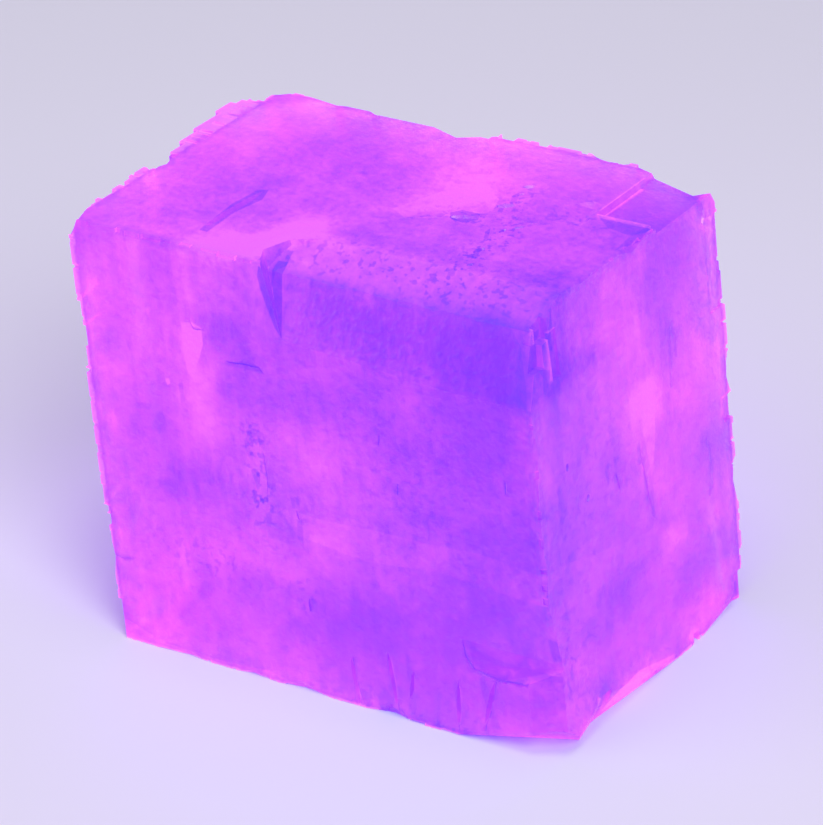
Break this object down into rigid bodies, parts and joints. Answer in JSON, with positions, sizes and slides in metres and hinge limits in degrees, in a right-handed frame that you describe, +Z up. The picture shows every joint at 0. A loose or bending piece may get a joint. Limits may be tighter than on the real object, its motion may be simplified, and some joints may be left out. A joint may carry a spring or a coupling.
{
  "type": "iceland spar cleavage block",
  "caption": "Leaning six-sided cleavage block of clear calcite, broken along its front top edge, resting on a flat base.",
  "frame": {"origin": "middle of the base of the block's bounding box, on the surface that it rests on", "axes": "+X along the block's long cleavage edge towards its right end, +Y towards its back, +Z up"},
  "size_m": [0.0788, 0.0534, 0.051],
  "materials": {
    "clear_calcite": "clear to hazy calcite that glows pink-violet under ultraviolet light"
  },
  "bodies": {
    "root": {"iceland_spar": "clear_calcite"}
  },
  "joints": []
}
